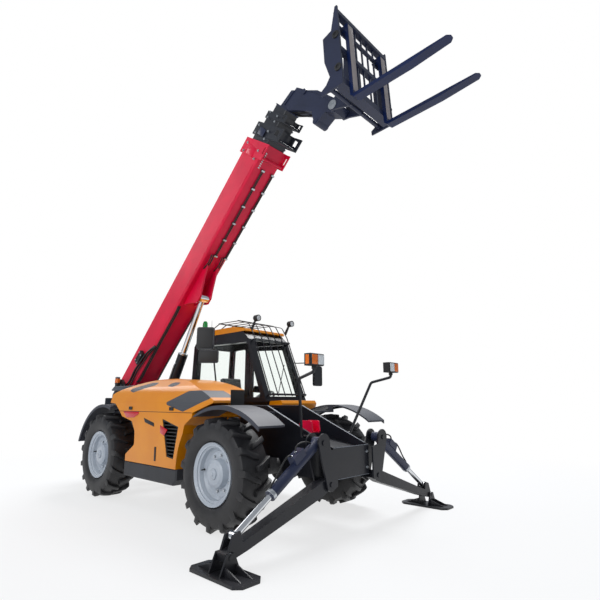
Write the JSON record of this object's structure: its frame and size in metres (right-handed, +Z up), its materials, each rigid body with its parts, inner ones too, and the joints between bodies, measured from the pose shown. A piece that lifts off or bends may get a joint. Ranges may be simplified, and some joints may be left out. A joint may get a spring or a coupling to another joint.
{
  "type": "telehandler",
  "caption": "Four-wheel telehandler with a raised four-section telescopic boom, pallet forks, offset cab, side engine hood and front stabiliser legs.",
  "frame": {"origin": "on the ground under the middle of the whole machine with its boom raised as stored", "axes": "+X forward, +Y to the machine's left, +Z up"},
  "size_m": [7.4277, 3.88, 6.4393],
  "materials": {
    "boom_paint": "gloss",
    "frame_paint": "satin",
    "body_paint": "gloss",
    "grey_paint": "satin",
    "slate_paint": "satin",
    "rim_paint": "satin",
    "tyre": "matte",
    "chrome": "gloss",
    "glass": "gloss",
    "fabric": "matte",
    "plastic": "matte",
    "lamp": "gloss",
    "iron": "matte"
  },
  "bodies": {
    "frame": {"chassis": "frame_paint", "front_plate": "frame_paint", "counterweight": "grey_paint", "engine": "iron", "side_skirt": "grey_paint", "hood_body": "body_paint", "side_grille": "plastic", "cab_shell": "frame_paint", "cab_roof": "body_paint", "cab_glass": "glass", "cab_guard": "frame_paint", "roof_guard": "frame_paint", "cowl": "body_paint", "fuel_tank": "frame_paint", "boom_rest": "boom_paint", "seat": "fabric", "seat_base": "plastic", "dashboard": "plastic", "fenders": "slate_paint", "light_arms": "frame_paint", "head_lamps": "lamp", "axle_front": "frame_paint", "axle_rear": "frame_paint", "stabiliser_towers": "frame_paint"},
    "hood": {"hood_lid": "body_paint", "hood_vents": "grey_paint"},
    "door": {"cab_door": "frame_paint", "door_glass": "glass"},
    "boom": {"boom_base": "boom_paint", "boom_lines": "plastic"},
    "section_1": {"boom_mid_1": "frame_paint"},
    "section_2": {"boom_mid_2": "frame_paint"},
    "section_3": {"boom_inner": "frame_paint", "boom_head": "slate_paint"},
    "fork_carriage": {"coupler": "slate_paint", "carriage": "slate_paint", "fork_left": "slate_paint", "fork_right": "slate_paint"},
    "lift_barrel": {"lift_cylinder_barrel": "frame_paint"},
    "lift_rod": {"lift_cylinder_rod": "chrome"},
    "knuckle_front_right": {"knuckle_front_right": "frame_paint"},
    "wheel_front_right": {"tyre_front_right": "tyre", "rim_front_right": "rim_paint"},
    "knuckle_front_left": {"knuckle_front_left": "frame_paint"},
    "wheel_front_left": {"tyre_front_left": "tyre", "rim_front_left": "rim_paint"},
    "knuckle_rear_right": {"knuckle_rear_right": "frame_paint"},
    "wheel_rear_right": {"tyre_rear_right": "tyre", "rim_rear_right": "rim_paint"},
    "knuckle_rear_left": {"knuckle_rear_left": "frame_paint"},
    "wheel_rear_left": {"tyre_rear_left": "tyre", "rim_rear_left": "rim_paint"},
    "stabiliser_leg_right": {"stabiliser_leg_right": "frame_paint"},
    "stabiliser_barrel_right": {"stabiliser_barrel_right": "slate_paint"},
    "stabiliser_rod_right": {"stabiliser_rod_right": "chrome"},
    "stabiliser_pad_right": {"stabiliser_pad_right": "frame_paint"},
    "stabiliser_leg_left": {"stabiliser_leg_left": "frame_paint"},
    "stabiliser_barrel_left": {"stabiliser_barrel_left": "slate_paint"},
    "stabiliser_rod_left": {"stabiliser_rod_left": "chrome"},
    "stabiliser_pad_left": {"stabiliser_pad_left": "frame_paint"}
  },
  "joints": [
    {"name": "steer_front_right", "type": "hinge", "parent": "frame", "child": "knuckle_front_right", "pos_m": [0.88147, -0.84, 0.625], "axis": [0, 0, 1], "range_deg": [-35, 35]},
    {"name": "wheel_front_right_spin", "type": "hinge", "parent": "knuckle_front_right", "child": "wheel_front_right", "pos_m": [0.88147, -1, 0.625], "axis": [0, 1, 0], "continuous": true},
    {"name": "steer_front_left", "type": "hinge", "parent": "frame", "child": "knuckle_front_left", "pos_m": [0.88147, 0.84, 0.625], "axis": [0, 0, 1], "range_deg": [-35, 35]},
    {"name": "wheel_front_left_spin", "type": "hinge", "parent": "knuckle_front_left", "child": "wheel_front_left", "pos_m": [0.88147, 1, 0.625], "axis": [0, 1, 0], "continuous": true},
    {"name": "steer_rear_right", "type": "hinge", "parent": "frame", "child": "knuckle_rear_right", "pos_m": [-2.06853, -0.84, 0.625], "axis": [0, 0, 1], "range_deg": [-35, 35]},
    {"name": "wheel_rear_right_spin", "type": "hinge", "parent": "knuckle_rear_right", "child": "wheel_rear_right", "pos_m": [-2.06853, -1, 0.625], "axis": [0, 1, 0], "continuous": true},
    {"name": "steer_rear_left", "type": "hinge", "parent": "frame", "child": "knuckle_rear_left", "pos_m": [-2.06853, 0.84, 0.625], "axis": [0, 0, 1], "range_deg": [-35, 35]},
    {"name": "wheel_rear_left_spin", "type": "hinge", "parent": "knuckle_rear_left", "child": "wheel_rear_left", "pos_m": [-2.06853, 1, 0.625], "axis": [0, 1, 0], "continuous": true},
    {"name": "boom_lift", "type": "hinge", "parent": "frame", "child": "boom", "pos_m": [-3.26853, 0, 1.7], "axis": [0, -1, 0], "range_deg": [-45, 25]},
    {"name": "lift_barrel_swing", "type": "hinge", "parent": "frame", "child": "lift_barrel", "pos_m": [-2.56853, 0, 0.62], "axis": [0, -1, 0], "range_deg": [-38, 21.2]},
    {"name": "lift_rod_slide", "type": "slide", "parent": "lift_barrel", "child": "lift_rod", "axis": [0.4805, 0, 0.877], "range_m": [-0.945, 0.525]},
    {"name": "boom_extend", "type": "slide", "parent": "boom", "child": "section_1", "axis": [0.7071, 0, 0.7071], "range_m": [0, 3.5]},
    {"name": "section_2_extend", "type": "slide", "parent": "section_1", "child": "section_2", "axis": [0.7071, 0, 0.7071], "range_m": [0, 3.5]},
    {"name": "section_3_extend", "type": "slide", "parent": "section_2", "child": "section_3", "axis": [0.7071, 0, 0.7071], "range_m": [0, 3.5]},
    {"name": "fork_tilt", "type": "hinge", "parent": "section_3", "child": "fork_carriage", "pos_m": [1.90184, 0, 5.41938], "axis": [0, 1, 0], "range_deg": [-57, 68]},
    {"name": "stabiliser_right_swing", "type": "hinge", "parent": "frame", "child": "stabiliser_leg_right", "pos_m": [1.94347, -0.452, 0.558], "axis": [-1, 0, 0], "range_deg": [0, 62]},
    {"name": "stabiliser_right_barrel_swing", "type": "hinge", "parent": "frame", "child": "stabiliser_barrel_right", "pos_m": [1.94347, -0.576, 0.993], "axis": [-1, 0, 0], "range_deg": [-0.5, 70]},
    {"name": "stabiliser_right_rod_slide", "type": "slide", "parent": "stabiliser_barrel_right", "child": "stabiliser_rod_right", "axis": [0, -0.8434, -0.5373], "range_m": [-0.4487, 0.005]},
    {"name": "stabiliser_right_pad_tilt", "type": "hinge", "parent": "stabiliser_leg_right", "child": "stabiliser_pad_right", "pos_m": [1.94347, -1.79, 0.15], "axis": [-1, 0, 0], "range_deg": [-15, 15]},
    {"name": "stabiliser_left_swing", "type": "hinge", "parent": "frame", "child": "stabiliser_leg_left", "pos_m": [1.94347, 0.452, 0.558], "axis": [1, 0, 0], "range_deg": [0, 62]},
    {"name": "stabiliser_left_barrel_swing", "type": "hinge", "parent": "frame", "child": "stabiliser_barrel_left", "pos_m": [1.94347, 0.576, 0.993], "axis": [1, 0, 0], "range_deg": [-0.5, 70]},
    {"name": "stabiliser_left_rod_slide", "type": "slide", "parent": "stabiliser_barrel_left", "child": "stabiliser_rod_left", "axis": [0, 0.8434, -0.5373], "range_m": [-0.4487, 0.005]},
    {"name": "stabiliser_left_pad_tilt", "type": "hinge", "parent": "stabiliser_leg_left", "child": "stabiliser_pad_left", "pos_m": [1.94347, 1.79, 0.15], "axis": [1, 0, 0], "range_deg": [-15, 15]},
    {"name": "hood_open", "type": "hinge", "parent": "frame", "child": "hood", "pos_m": [-1.06853, -0.34, 1.69], "axis": [-1, 0, 0], "range_deg": [0, 55]},
    {"name": "door_open", "type": "hinge", "parent": "frame", "child": "door", "pos_m": [-1.18453, 1.183, 1.6], "axis": [0, 0, 1], "range_deg": [0, 85]}
  ],
  "couplings": [
    {"joint": "steer_front_left", "follows": "steer_front_right", "ratio": 1},
    {"joint": "steer_rear_left", "follows": "steer_rear_right", "ratio": 1},
    {"joint": "lift_barrel_swing", "follows": "boom_lift", "ratio": 0.84},
    {"joint": "lift_rod_slide", "follows": "boom_lift", "m_per_rad": 1.2},
    {"joint": "section_2_extend", "follows": "boom_extend", "ratio": 1},
    {"joint": "section_3_extend", "follows": "boom_extend", "ratio": 1},
    {"joint": "stabiliser_right_barrel_swing", "follows": "stabiliser_right_swing", "ratio": 1.1209},
    {"joint": "stabiliser_right_rod_slide", "follows": "stabiliser_right_swing", "m_per_rad": -0.41001},
    {"joint": "stabiliser_left_barrel_swing", "follows": "stabiliser_left_swing", "ratio": 1.1209},
    {"joint": "stabiliser_left_rod_slide", "follows": "stabiliser_left_swing", "m_per_rad": -0.41001}
  ]
}
